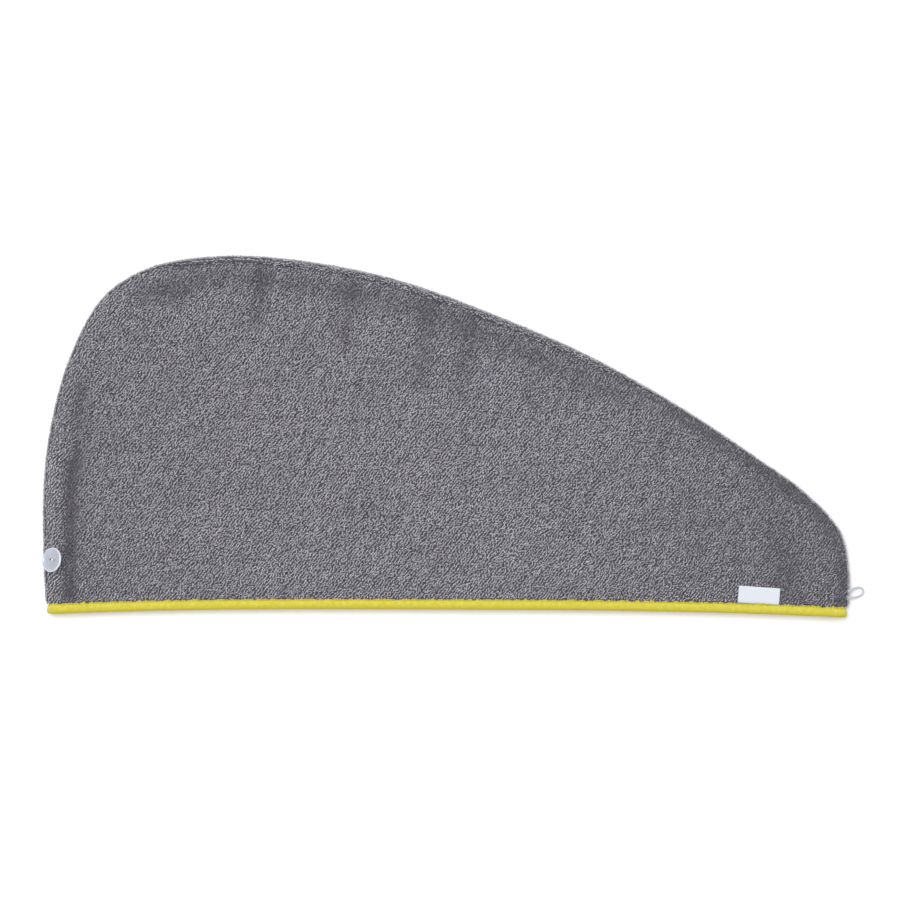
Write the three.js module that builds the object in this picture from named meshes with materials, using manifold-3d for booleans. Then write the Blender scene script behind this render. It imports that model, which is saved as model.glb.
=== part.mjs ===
// A hair turban towel lying flat: two terry panels sewn along a curved seam, with a bound mouth
// Millimetres, +Z up, the narrow tail towards +X and the open mouth towards -Y.
import * as THREE from "three";
import { mergeVertices } from "three/addons/utils/BufferGeometryUtils.js";
import Module from "manifold-3d";

// Cloth sizes
const clothLength = 650;
const clothDepth = 291;
const wall = 2.5; // terry with its pile
const hemWall = 1.8; // terry pressed flat inside the binding
const clearance = 0.3; // between pieces that touch
const crown = 14.4; // top of the upper panel above the table
const shoulderReach = 17; // from the seam to the crown
const shoulderRound = 2.2; // how full the shoulder is
const foldFade = 2; // way in from the seam in which the folds set in
const floorCurl = 8; // the lower panel leaves the table this far from its edge
const allowanceWidth = 9; // seam allowance folded to the inside, a second layer of each panel
const allowanceFade = 4;

// Seam: at half height on the sides, rolled on to the top along the head end's curve
const seamHeight = 5.8;
const seamEdge = 1.4; // cloth edge standing on either side of the seam
const lipWidth = 1.2;
const rolledLipWidth = 5.6;
const rolledSeamHeight = 8.8;
const lipBulge = 1.6;
const rollDrop = 8; // way in which the rolled seam comes back to half height inside
const rollSpan = { starts: 0.11, full: 0.2, fades: 0.66, ends: 0.78 }; // shares of the cloth's length

// Mouth and its binding tape
const tapeWall = 0.7;
const tapeDepth = 8.3;
const tapeRound = 0.9; // depth in which its fold rounds off
const mouthGap = 5.6; // free height between the two bound edges
const hemArch = 5.4; // the hem's middle above its corners
const hemFlatness = 3; // power of the arch, the higher the flatter its middle
const hemTilt = 2.9; // its left corner above its right corner
const tapeInset = 1.4; // the binding's ends behind the cloth's edges
const hemFade = 13; // way in which the cloth swells to its full thickness behind the binding

// Valley in the upper panel that follows the seam
const valleyDistance = 20;
const valleyWidth = 7;
const valleyDepth = 1.3;

// Button, seated on the curve of the head end's edge
const buttonRadius = 9.95;
const buttonThickness = 2.1;
const buttonDish = 0.9;
const buttonRim = 1.3;
const buttonBelly = 0.5;
const buttonRound = 0.4; // of the rim's edges
const buttonSides = 32;
const buttonHoleRadius = 0.9;
const buttonHoleSpacing = 4;
const buttonHoleSides = 10;
const buttonTilt = 38.5; // degrees, leaning over the edge
const buttonTurn = 15; // degrees, towards the seam
const buttonSpin = -48; // degrees about its own axis, with the holes nearly level
const buttonSeat = { along: 0.0152, across: 0.1595 }; // shares of the cloth's length and depth

// Label, a folded woven tag
const labelWidth = 33.3;
const labelHeight = 12.8;
const labelThickness = 0.6;
const labelTurn = 4; // degrees
const labelPlace = 0.886; // share of the cloth's length

// Elastic loop
const cordRadius = 0.85;
const cordSides = 8;
const cordSteps = 26;
// Route of the loop from one caught end to the other, from the cloth's lower left corner
const cordRoute = [
  [642.5, 20.9, 5.95],
  [646.2, 21.0, 5.95],
  [649.9, 21.7, 5.6],
  [652.4, 22.9, 4.5],
  [655.2, 23.9, 3.1],
  [658.0, 24.2, 1.8],
  [660.5, 23.3, 1.1],
  [661.7, 21.0, 0.95],
  [661.0, 18.8, 1.0],
  [658.6, 17.3, 1.6],
  [655.4, 16.4, 2.9],
  [652.4, 16.2, 4.4],
  [649.9, 16.3, 5.6],
  [646.2, 16.6, 5.95],
  [642.5, 16.8, 5.95],
];

// Seam line from the left corner over the top to the right corner: shares of the cloth's length, and of
// the way from the binding's edge to the top. Its first and last stretches make the sides.
const seamLine = [
  { along: 0.004, across: 0 },
  { along: 0.001, across: 0.168 },
  { along: 0.002, across: 0.357 },
  { along: 0.011, across: 0.519 },
  { along: 0.0345, across: 0.712 },
  { along: 0.0765, across: 0.884 },
  { along: 0.133, across: 0.966 },
  { along: 0.22, across: 0.999 },
  { along: 0.319, across: 0.986 },
  { along: 0.442, across: 0.927 },
  { along: 0.566, across: 0.821 },
  { along: 0.678, across: 0.706 },
  { along: 0.789, across: 0.561 },
  { along: 0.875, across: 0.431 },
  { along: 0.945, across: 0.318 },
  { along: 0.988, across: 0.21 },
  { along: 0.998, across: 0.104 },
  { along: 0.998, across: 0 },
];
const sideStretches = 5; // stretches between rows of the table that make up each side
const stretchSteps = 4; // columns of facets in a stretch

// Folds of the upper panel: a line from one end to the other, its half width and its depth, as shares
// of the cloth's length, depth and height of crown. A negative depth is a ridge.
const folds = [
  { fromAlong: 0.028, fromAcross: 0.6, toAlong: 0.037, toAcross: 0.34, width: 0.009, depth: 0.13 },
  { fromAlong: 0.037, fromAcross: 0.34, toAlong: 0.038, toAcross: 0.06, width: 0.011, depth: 0.22 },
  { fromAlong: 0.017, fromAcross: 0.46, toAlong: 0.018, toAcross: 0.07, width: 0.008, depth: -0.1 },
  { fromAlong: 0.125, fromAcross: 0.9, toAlong: 0.175, toAcross: 0.89, width: 0.013, depth: 0.09 },
  { fromAlong: 0.272, fromAcross: 0.97, toAlong: 0.266, toAcross: 0.82, width: 0.012, depth: 0.12 },
  { fromAlong: 0.381, fromAcross: 0.91, toAlong: 0.374, toAcross: 0.76, width: 0.013, depth: 0.1 },
  { fromAlong: 0.48, fromAcross: 0.88, toAlong: 0.466, toAcross: 0.66, width: 0.013, depth: 0.12 },
  { fromAlong: 0.53, fromAcross: 0.84, toAlong: 0.518, toAcross: 0.63, width: 0.012, depth: 0.1 },
  { fromAlong: 0.608, fromAcross: 0.76, toAlong: 0.603, toAcross: 0.6, width: 0.012, depth: 0.07 },
  { fromAlong: 0.43, fromAcross: 0.5, toAlong: 0.57, toAcross: 0.2, width: 0.04, depth: -0.04 },
  { fromAlong: 0.915, fromAcross: 0.2, toAlong: 0.92, toAcross: 0.08, width: 0.022, depth: 0.1 },
];

// Rows of facets: those of the rim in from the groove, and those of the lip as shares of its width
const rimSteps = [2, 4.5, 8, 13];
const lipSteps = [0, 0.35, 0.7];
const hemColumns = 24; // of the binding along each edge
const turnColumns = 6; // of the binding round each corner

// Sections, as shares of the size that each follows: the tape's fold across its half width and along its
// round, and the button's back and front across the dish's radius and down its belly or dish
const foldRound = [
  [-1, 1],
  [-0.65, 0.28],
  [0, 0],
  [0.65, 0.28],
  [1, 1],
];
const buttonBack = [
  [0, 1],
  [0.5, 0.7],
  [1, 0],
];
const buttonFront = [
  [1, 0.2],
  [0.8, 0.7],
  [0.4, 1],
  [0, 1],
];

const tapeLayer = hemWall + 2 * (clearance + tapeWall);
const tapeMiddleLow = tapeLayer / 2;
const tapeMiddleHigh = tapeLayer * 1.5 + mouthGap;
const slotFloor = tapeWall + clearance;
const upperSlotTop = tapeMiddleHigh + hemWall / 2;
const tongueEnd = tapeWall + clearance;
const bindingEdge = tapeDepth + clearance;

const wasm = await Module();
wasm.setup();

const terry = new THREE.MeshStandardMaterial({ color: 0x7e7d83, roughness: 0.95, metalness: 0 });
const tape = new THREE.MeshStandardMaterial({ color: 0xddd247, roughness: 0.8, metalness: 0 });
const plastic = new THREE.MeshStandardMaterial({ color: 0xc8ced8, roughness: 0.25, metalness: 0 });
const satin = new THREE.MeshStandardMaterial({ color: 0xdee4f0, roughness: 0.6, metalness: 0 });
const elastic = new THREE.MeshStandardMaterial({ color: 0xd8dbe2, roughness: 0.7, metalness: 0 });

const smooth = (from, to, value) => THREE.MathUtils.smoothstep(value, from, to);
const mix = THREE.MathUtils.lerp;
const bell = (distance, width) => Math.exp(-((distance / width) ** 2));

// Height of the hem line above its right corner, a low arch on a slight slope
function hemLine(x) {
  const along = x / clothLength;
  return hemTilt * (1 - along) + hemArch * (1 - Math.abs(2 * along - 1) ** hemFlatness);
}

// How far the seam is rolled on to the top, 0 to 1, at a share of the length
function roll(along) {
  return smooth(rollSpan.starts, rollSpan.full, along) * (1 - smooth(rollSpan.fades, rollSpan.ends, along));
}

// Distance of a point from the stretch between two others
function distanceTo(x, y, start, end) {
  const runX = end.x - start.x;
  const runY = end.y - start.y;
  const share = ((x - start.x) * runX + (y - start.y) * runY) / (runX ** 2 + runY ** 2);
  const near = THREE.MathUtils.clamp(share, 0, 1);
  return Math.hypot(x - start.x - near * runX, y - start.y - near * runY);
}

function foldDistance(x, y, fold) {
  const start = { x: fold.fromAlong * clothLength, y: fold.fromAcross * clothDepth };
  const end = { x: fold.toAlong * clothLength, y: fold.toAcross * clothDepth };
  return distanceTo(x, y, start, end);
}

// Depth of all folds and of the valley along the seam at a point of the upper panel
function foldDepth(place) {
  const valley = bell(place.inset - valleyDistance, valleyWidth) * roll(place.x / clothLength);
  const depths = folds.map((fold) => {
    const share = bell(foldDistance(place.x, place.y, fold), fold.width * clothLength);
    return share * fold.depth * crown;
  });
  return depths.reduce((sum, depth) => sum + depth, valley * valleyDepth);
}

// Surface between the two panels: on the groove of the seam, then down to half height inside
function partingHeight(place) {
  const rolled = mix(seamHeight, rolledSeamHeight, roll(place.along));
  return mix(rolled, seamHeight, smooth(0, rollDrop, place.inset - place.lip));
}

// Thickness of one panel: thin in the binding, doubled over the seam allowance
function thicknessAt(place) {
  const doubled = 1 - smooth(allowanceWidth, allowanceWidth + allowanceFade, place.inset - place.lip);
  return mix(hemWall, wall * (1 + doubled), smooth(0, hemFade, place.hem - bindingEdge));
}

function lowerFace(place) {
  const way = Math.min(1, place.inset / floorCurl);
  const edge = seamHeight - seamEdge;
  const curl = edge * (1 - Math.sqrt(1 - (1 - way) ** 2));
  return mix(Math.max(curl, slotFloor), curl, smooth(0, hemFade, place.hem - bindingEdge));
}

function lowerInside(place) {
  if (place.inset < place.lip) {
    const way = place.inset / place.lip;
    const bulge = lipBulge * roll(place.along) * Math.sin(Math.PI * way);
    return mix(seamHeight, partingHeight(place), way) + bulge;
  }
  return Math.min(lowerFace(place) + thicknessAt(place), partingHeight(place));
}

function upperFace(place) {
  const edge = partingHeight({ ...place, inset: place.lip }) + clearance + seamEdge;
  const way = Math.min(1, (place.inset - place.lip) / shoulderReach);
  const plain = mix(edge, crown, 1 - (1 - way) ** shoulderRound);
  const free = plain - foldDepth(place) * smooth(0, foldFade, place.inset - place.lip);
  return mix(Math.min(free, upperSlotTop), free, smooth(0, hemFade, place.hem - bindingEdge));
}

function upperInside(place) {
  return Math.max(upperFace(place) - thicknessAt(place), partingHeight(place) + clearance);
}

// Seam line as points with the inward direction and the lip's width at each
function seamStations() {
  const knots = seamLine.map((row) => {
    const x = row.along * clothLength;
    return new THREE.Vector3(x, mix(hemLine(x) + bindingEdge, clothDepth, row.across), 0);
  });
  const curve = new THREE.CatmullRomCurve3(knots);
  const count = (seamLine.length - 1) * stretchSteps;
  return Array.from({ length: count + 1 }, (_, step) => {
    const point = curve.getPoint(step / count);
    const along = curve.getTangent(step / count);
    const share = point.x / clothLength;
    return {
      x: point.x,
      y: point.y,
      atHem: step === 0 || step === count,
      inward: new THREE.Vector2(along.y, -along.x),
      along: share,
      lip: mix(lipWidth, rolledLipWidth, roll(share)),
    };
  });
}

const stations = seamStations();

function seamDistance(x, y) {
  const reaches = stations.slice(1).map((station, number) => distanceTo(x, y, stations[number], station));
  return Math.min(...reaches);
}

// One place of a panel's plan, with what its heights depend on
function placeAt(x, y, station, inset) {
  return { x, y, inset, lip: station.lip, along: station.along, hem: y - hemLine(x) };
}

// Row of places at one distance in from the seam line, whose ends lie along the binding's edge
function rimRow(insetOf) {
  return stations.map((station) => {
    const inset = insetOf(station);
    const x = station.x + station.inward.x * inset;
    const y = station.atHem ? hemLine(x) + bindingEdge : station.y + station.inward.y * inset;
    return placeAt(x, y, station, inset);
  });
}

// Rows inside the rim, from the binding's edge up: the four sides of the field are blended into each other
function fieldRows(rim) {
  const side = sideStretches * stretchSteps;
  const left = rim.slice(0, side + 1);
  const top = rim.slice(side, rim.length - side);
  const right = rim.slice(rim.length - side - 1).reverse();
  const last = top.length - 1;
  return left.map((leftPlace, row) =>
    top.map((topPlace, column) => {
      if (column === 0) return leftPlace;
      if (column === last) return right[row];
      if (row === side) return topPlace;
      const u = column / last;
      const v = row / side;
      const bottomX = mix(left[0].x, right[0].x, u);
      const bottom = { x: bottomX, y: hemLine(bottomX) + bindingEdge };
      const [x, y] = ["x", "y"].map((axis) => {
        const lowCorners = mix(left[0][axis], right[0][axis], u);
        const highCorners = mix(left[side][axis], right[side][axis], u);
        const upright = mix(bottom[axis], topPlace[axis], v);
        const level = mix(leftPlace[axis], right[row][axis], u);
        return upright + level - mix(lowCorners, highCorners, v);
      });
      return placeAt(x, y, stations[side + column], seamDistance(x, y));
    }),
  );
}

// Lowest row moved into the slot of the binding
function tongueRow(row) {
  return row.map((place) => ({ ...place, y: hemLine(place.x) + tongueEnd, hem: tongueEnd }));
}

// Solid between two heights over strips of places; edges that only one facet uses become its walls
function clothSolid(strips, topHeight, bottomHeight) {
  const places = [];
  const numbers = new Map();
  const numberOf = (place) => {
    const key = `${place.x.toFixed(3)} ${place.y.toFixed(3)}`;
    if (!numbers.has(key)) {
      numbers.set(key, places.length);
      places.push(place);
    }
    return numbers.get(key);
  };
  const facets = [];
  for (const rows of strips) {
    for (let row = 0; row + 1 < rows.length; row++) {
      for (let column = 0; column + 1 < rows[row].length; column++) {
        const corners = [
          numberOf(rows[row][column]),
          numberOf(rows[row][column + 1]),
          numberOf(rows[row + 1][column + 1]),
          numberOf(rows[row + 1][column]),
        ];
        facets.push([corners[0], corners[1], corners[2]], [corners[0], corners[2], corners[3]]);
      }
    }
  }
  const turned = facets.map((facet) => {
    const [a, b, c] = facet.map((number) => places[number]);
    const area = (b.x - a.x) * (c.y - a.y) - (c.x - a.x) * (b.y - a.y);
    return area > 0 ? facet : [facet[0], facet[2], facet[1]];
  });
  const edges = new Set(turned.flatMap(([a, b, c]) => [`${a} ${b}`, `${b} ${c}`, `${c} ${a}`]));
  const ends = [...edges].map((edge) => edge.split(" ").map(Number));
  const walls = ends.filter(([a, b]) => !edges.has(`${b} ${a}`));
  const count = places.length;
  const positions = [
    ...places.flatMap((place) => [place.x, place.y, topHeight(place)]),
    ...places.flatMap((place) => [place.x, place.y, bottomHeight(place)]),
  ];
  const index = [
    ...turned.flat(),
    ...turned.flatMap(([a, b, c]) => [a + count, c + count, b + count]),
    ...walls.flatMap(([a, b]) => [a, a + count, b + count, a, b + count, b]),
  ];
  const geometry = new THREE.BufferGeometry();
  geometry.setAttribute("position", new THREE.Float32BufferAttribute(positions, 3));
  geometry.setIndex(index);
  return geometry;
}

function toSolid(geometry) {
  const bare = geometry.clone();
  bare.deleteAttribute("normal");
  bare.deleteAttribute("uv");
  const merged = mergeVertices(bare, 1e-3);
  const vertProperties = merged.attributes.position.array;
  const triVerts = new Uint32Array(merged.index.array);
  return new wasm.Manifold(new wasm.Mesh({ numProp: 3, vertProperties, triVerts }));
}

function toGeometry(solid) {
  const mesh = solid.getMesh();
  const geometry = new THREE.BufferGeometry();
  geometry.setAttribute("position", new THREE.BufferAttribute(mesh.vertProperties, 3));
  geometry.setIndex(new THREE.BufferAttribute(mesh.triVerts, 1));
  geometry.computeVertexNormals();
  return geometry;
}

function cordTube(radius) {
  const section = new THREE.Shape();
  section.absarc(0, 0, radius, 0, 2 * Math.PI);
  const route = new THREE.CatmullRomCurve3(cordRoute.map((point) => new THREE.Vector3(...point)));
  const curveSegments = cordSides / 2; // each gives two sides of a full circle
  return new THREE.ExtrudeGeometry(section, { steps: cordSteps, curveSegments, extrudePath: route });
}

// The panels: rim and field share their edge row, and only the lower one has the lip beyond the seam
function makePanels() {
  const lipRows = lipSteps.map((share) => rimRow((station) => share * station.lip));
  const rimRows = [0, ...rimSteps].map((step) => rimRow((station) => station.lip + step));
  const field = fieldRows(rimRows[rimRows.length - 1]);
  const tongue = [tongueRow(field[0]), field[0]];
  const upper = clothSolid([rimRows, field, tongue], upperFace, upperInside);
  const lower = clothSolid([[...lipRows, ...rimRows], field, tongue], lowerInside, lowerFace);
  const caught = toSolid(cordTube(cordRadius + clearance));
  return [
    new THREE.Mesh(toGeometry(toSolid(lower).subtract(caught)), terry),
    new THREE.Mesh(toGeometry(toSolid(upper).subtract(caught)), terry),
  ];
}

// Section of the binding, a slot open to the cloth: offset from the middle line, and depth behind the fold
function tapeSection() {
  const half = tapeLayer / 2;
  const slot = half - tapeWall;
  return [
    [-half, tapeDepth],
    ...foldRound.map(([across, along]) => [across * half, along * tapeRound]),
    [half, tapeDepth],
    [slot, tapeDepth],
    [slot, tapeWall],
    [-slot, tapeWall],
    [-slot, tapeDepth],
  ];
}

// Stations round the mouth, seen from the front: along the lower edge, a half turn, back along the upper
function mouthStations() {
  const radius = (tapeMiddleHigh - tapeMiddleLow) / 2;
  const half = tapeLayer / 2;
  const leftEnd = stations[0].x + tapeInset + radius + half;
  const rightEnd = stations[stations.length - 1].x - tapeInset - radius - half;
  const middle = tapeMiddleLow + radius;
  const along = [];
  for (let step = 0; step < hemColumns; step++) {
    along.push({ x: mix(leftEnd, rightEnd, step / hemColumns), z: tapeMiddleLow, outX: 0, outZ: -1 });
  }
  for (let step = 0; step < turnColumns; step++) {
    const angle = (Math.PI * step) / turnColumns;
    const outX = Math.sin(angle);
    const outZ = -Math.cos(angle);
    along.push({ x: rightEnd + radius * outX, z: middle + radius * outZ, outX, outZ });
  }
  const back = along.map(({ x, z, outX, outZ }) => ({
    x: leftEnd + rightEnd - x,
    z: 2 * middle - z,
    outX: -outX,
    outZ: -outZ,
  }));
  return [...along, ...back];
}

function makeBinding() {
  const section = tapeSection();
  const round = mouthStations();
  const positions = round.flatMap(({ x, z, outX, outZ }) =>
    section.flatMap(([offset, depth]) => {
      const placeX = x + outX * offset;
      return [placeX, hemLine(placeX) + depth, z + outZ * offset];
    }),
  );
  const index = [];
  for (let station = 0; station < round.length; station++) {
    const next = (station + 1) % round.length;
    for (let side = 0; side < section.length; side++) {
      const a = station * section.length + side;
      const b = station * section.length + ((side + 1) % section.length);
      const c = next * section.length + ((side + 1) % section.length);
      const d = next * section.length + side;
      index.push(a, b, c, a, c, d);
    }
  }
  const geometry = new THREE.BufferGeometry();
  geometry.setAttribute("position", new THREE.Float32BufferAttribute(positions, 3));
  geometry.setIndex(index);
  geometry.computeVertexNormals();
  return new THREE.Mesh(geometry, tape);
}

// Height of the upper panel's face at a point, or of the seam for a point beyond its edge
function upperHeightAt(x, y) {
  const nearest = stations.reduce((best, station) =>
    Math.hypot(x - station.x, y - station.y) < Math.hypot(x - best.x, y - best.y) ? station : best,
  );
  const beyond = nearest.inward.dot(new THREE.Vector2(x - nearest.x, y - nearest.y)) < nearest.lip;
  return beyond ? seamHeight : upperFace(placeAt(x, y, nearest, seamDistance(x, y)));
}

// Dished disc with a raised rim, a slightly domed back and two holes
function makeButton() {
  const dishRadius = buttonRadius - buttonRim;
  const profile = [
    ...buttonBack.map(([across, down]) => [across * dishRadius, -down * buttonBelly]),
    [buttonRadius - buttonRound, buttonRound],
    [buttonRadius, 2 * buttonRound],
    [buttonRadius, buttonThickness - buttonRound],
    [buttonRadius - buttonRound, buttonThickness],
    ...buttonFront.map(([across, down]) => [across * dishRadius, buttonThickness - down * buttonDish]),
  ];
  const outline = profile.map(([radius, height]) => new THREE.Vector2(radius, height));
  const disc = toSolid(new THREE.LatheGeometry(outline, buttonSides));
  const drill = [buttonHoleRadius, buttonHoleRadius, 4 * buttonThickness, buttonHoleSides];
  const holes = [-1, 1].map((side) => {
    const hole = new THREE.CylinderGeometry(...drill);
    return toSolid(hole.translate((side * buttonHoleSpacing) / 2, 0, 0));
  });
  const geometry = toGeometry(disc.subtract(holes[0]).subtract(holes[1]));
  const mesh = new THREE.Mesh(geometry, plastic);
  const x = buttonSeat.along * clothLength;
  const y = buttonSeat.across * clothDepth;
  const tilt = THREE.MathUtils.degToRad(buttonTilt);
  const turn = THREE.MathUtils.degToRad(buttonTurn);
  const facing = new THREE.Vector3(-Math.cos(turn), Math.sin(turn), 0);
  facing.multiplyScalar(Math.sin(tilt)).setZ(Math.cos(tilt));
  const seat = new THREE.Vector3(x, y, upperHeightAt(x, y));
  mesh.quaternion.setFromUnitVectors(new THREE.Vector3(0, 1, 0), facing);
  mesh.position.copy(seat).addScaledVector(facing, seatRise(seat, mesh.quaternion) + clearance);
  mesh.rotateY(THREE.MathUtils.degToRad(buttonSpin));
  return mesh;
}

// How far the button's plane has to rise off its seat until its back is clear of the cloth
function seatRise(seat, turned) {
  const rings = 4;
  const rays = 16;
  const facing = new THREE.Vector3(0, 1, 0).applyQuaternion(turned);
  let rise = buttonBelly;
  for (let ring = 1; ring <= rings; ring++) {
    for (let ray = 0; ray < rays; ray++) {
      const angle = (2 * Math.PI * ray) / rays;
      const reach = (buttonRadius * ring) / rings;
      const spot = new THREE.Vector3(Math.cos(angle), 0, Math.sin(angle)).applyQuaternion(turned);
      spot.multiplyScalar(reach).add(seat);
      rise = Math.max(rise, (upperHeightAt(spot.x, spot.y) - spot.z) * facing.z);
    }
  }
  return rise;
}

// Tag lying on the upper panel, its lower end against the binding's edge
function makeLabel() {
  const x = labelPlace * clothLength;
  const turn = THREE.MathUtils.degToRad(labelTurn);
  const corners = [-1, 1].map((side) => {
    const off = (side * labelWidth) / 2;
    return hemLine(x + off * Math.cos(turn)) + off * Math.sin(turn);
  });
  const lowEnd = Math.max(...corners) + bindingEdge;
  const highEnd = lowEnd + labelHeight;
  const lowHeight = Math.max(upperHeightAt(x, lowEnd), upperSlotTop);
  const slope = Math.atan2(upperHeightAt(x, highEnd) - lowHeight, labelHeight);
  const mesh = new THREE.Mesh(new THREE.BoxGeometry(labelWidth, labelHeight, labelThickness), satin);
  mesh.geometry.translate(0, labelHeight / 2, labelThickness / 2);
  mesh.rotation.set(slope, 0, -turn);
  mesh.position.set(x, lowEnd, lowHeight + clearance);
  return mesh;
}

const towel = new THREE.Group();
const [lowerPanel, upperPanel] = makePanels();
const named = {
  lower_panel: lowerPanel,
  upper_panel: upperPanel,
  hem_binding: makeBinding(),
  button: makeButton(),
  label: makeLabel(),
};
for (const [name, mesh] of Object.entries(named)) {
  mesh.name = name;
  towel.add(mesh);
}

// The origin lies under the middle of the towel, the loop's overhang left out
const reach = new THREE.Box3().setFromObject(towel, true);
towel.position.set(-(reach.min.x + reach.max.x) / 2, -(reach.min.y + reach.max.y) / 2, -reach.min.z);

const loop = new THREE.Mesh(cordTube(cordRadius), elastic);
loop.name = "elastic_loop";
towel.add(loop);

export default towel;
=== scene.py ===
import bpy
import numpy as np
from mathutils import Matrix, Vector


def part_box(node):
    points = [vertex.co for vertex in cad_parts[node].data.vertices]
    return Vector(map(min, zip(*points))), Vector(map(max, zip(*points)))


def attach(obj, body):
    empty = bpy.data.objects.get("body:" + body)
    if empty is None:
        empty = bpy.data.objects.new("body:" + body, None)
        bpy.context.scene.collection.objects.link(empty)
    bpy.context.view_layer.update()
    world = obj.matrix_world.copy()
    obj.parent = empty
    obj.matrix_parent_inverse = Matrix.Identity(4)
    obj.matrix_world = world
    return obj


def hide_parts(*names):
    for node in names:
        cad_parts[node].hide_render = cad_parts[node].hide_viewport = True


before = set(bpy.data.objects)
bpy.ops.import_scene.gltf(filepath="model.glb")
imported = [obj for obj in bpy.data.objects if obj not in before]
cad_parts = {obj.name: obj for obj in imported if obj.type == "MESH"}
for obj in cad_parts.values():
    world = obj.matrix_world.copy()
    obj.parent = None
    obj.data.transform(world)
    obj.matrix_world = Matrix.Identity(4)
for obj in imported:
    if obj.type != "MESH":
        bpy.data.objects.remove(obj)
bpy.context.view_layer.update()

# The towel lies flat and is seen from straight above, the bound mouth towards the lower edge of the
# picture. The lens is long, as for a studio's top shot, so that the cloth's thickness hardly leans
# outwards.
picture_width = 0.7241
picture_centre = (0.0034, -0.0105)
camera_height = 3.0  # above the cloth's upper side
cloth_level = 0.012
camera = bpy.data.objects.new("camera", bpy.data.cameras.new("camera"))
camera.data.lens = camera.data.sensor_width * camera_height / picture_width
camera.location = (*picture_centre, camera_height + cloth_level)
bpy.context.collection.objects.link(camera)
bpy.context.scene.camera = camera


# Elastic loop: a thin cord of rubber under a braided cover of pale thread. Both its ends are caught in the
# seam at the tail, and in use it is pulled over the button.
cloth_corner = np.array([-324.466, -145.647, 0.0])  # lower left corner of the cloth, in millimetres
cord_diameter = 1.7
# Places of its middle line, from that corner, out of the seam and back into it.
cord_route = np.array([
    [642.5, 20.9, 5.95], [646.2, 21.0, 5.95], [649.9, 21.7, 5.6], [652.4, 22.9, 4.5], [655.2, 23.9, 3.1],
    [658.0, 24.2, 1.8], [660.5, 23.3, 1.1], [661.7, 21.0, 0.95], [661.0, 18.8, 1.0], [658.6, 17.3, 1.6],
    [655.4, 16.4, 2.9], [652.4, 16.2, 4.4], [649.9, 16.3, 5.6], [646.2, 16.6, 5.95], [642.5, 16.8, 5.95],
])


class Shade:
    """One output of a finish's nodes. An operator on it adds its Math node, as in 1 - mask."""

    def __init__(self, finish, socket):
        self.finish, self.socket = finish, socket

    def math(self, operation, *values):
        return self.finish.node("ShaderNodeMath", {"operation": operation}, dict(enumerate(values)))

    def __add__(self, other):
        return self.math("ADD", self, other)

    def __sub__(self, other):
        return self.math("SUBTRACT", self, other)

    def __rsub__(self, other):
        return self.math("SUBTRACT", other, self)

    def __mul__(self, other):
        return self.math("MULTIPLY", self, other)

    __radd__, __rmul__ = __add__, __mul__

    def sine(self):
        return self.math("SINE", self)


class Finish:
    """A material in the making: node() adds one node, its settings first and then its sockets."""

    def __init__(self, name):
        self.material = bpy.data.materials.new(name)
        self.material.use_nodes = True
        self.tree = self.material.node_tree
        self.tree.nodes.clear()

    def node(self, kind, settings=None, sockets=None, output=0):
        made = self.tree.nodes.new(kind)
        for setting, value in (settings or {}).items():
            setattr(made, setting, value)
        for socket, value in (sockets or {}).items():
            if isinstance(value, Shade):
                self.tree.links.new(value.socket, made.inputs[socket])
            else:
                made.inputs[socket].default_value = value
        return Shade(self, made.outputs[output]) if made.outputs else None

    def place(self):
        return self.node("ShaderNodeTexCoord", output="Object")

    def axes(self, place):
        split = self.node("ShaderNodeSeparateXYZ", sockets={0: place}).socket.node
        return [Shade(self, out) for out in split.outputs]

    def noise(self, place, size, detail=2.0, roughness=0.5):
        """Noise from 0 to 1 whose lumps measure about size, in metres."""
        sockets = {"Vector": place, "Scale": 1 / size, "Detail": detail, "Roughness": roughness}
        return self.node("ShaderNodeTexNoise", {}, sockets)

    def between(self, share, low, high):
        """A colour between two, by a share from 0 to 1."""
        return self.node("ShaderNodeMix", {"data_type": "RGBA"}, {0: share, 6: low, 7: high}, output=2)

    def stretch(self, value, low, high):
        """A value's range from low to high as 0 to 1, cut off beyond."""
        return self.node("ShaderNodeMapRange", {"clamp": True}, {0: value, 1: low, 2: high})

    def relief(self, height, depth):
        """The normal of a surface with this height, from 0 to 1, times depth in metres."""
        return self.node("ShaderNodeBump", {}, {"Strength": 1.0, "Distance": depth, "Height": height})

    def cloth(self, **sockets):
        named = {name.replace("_", " "): value for name, value in sockets.items()}
        shader = self.node("ShaderNodeBsdfPrincipled", {}, named)
        self.node("ShaderNodeOutputMaterial", {}, {"Surface": shader})


def colour(red, green, blue):
    """An sRGB colour of 0 to 255 as the linear one that shaders take."""
    shares = np.array([red, green, blue]) / 255
    linear = np.where(shares <= 0.04045, shares / 12.92, ((shares + 0.055) / 1.055) ** 2.4)
    return (*linear.tolist(), 1.0)


def add_piece(name, points, faces, finish, smooth=True):
    """A mesh from points in millimetres from the cloth's lower left corner, riding on the one body."""
    placed = (np.asarray(points, float).reshape(-1, 3) + cloth_corner) / 1000
    mesh = bpy.data.meshes.new(name)
    mesh.from_pydata(placed.tolist(), [], faces if isinstance(faces, list) else faces.tolist())
    mesh.polygons.foreach_set("use_smooth", np.full(len(mesh.polygons), smooth))
    mesh.materials.append(finish.material)
    piece = bpy.data.objects.new(name, mesh)
    bpy.context.collection.objects.link(piece)
    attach(piece, "root")
    return piece


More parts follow.
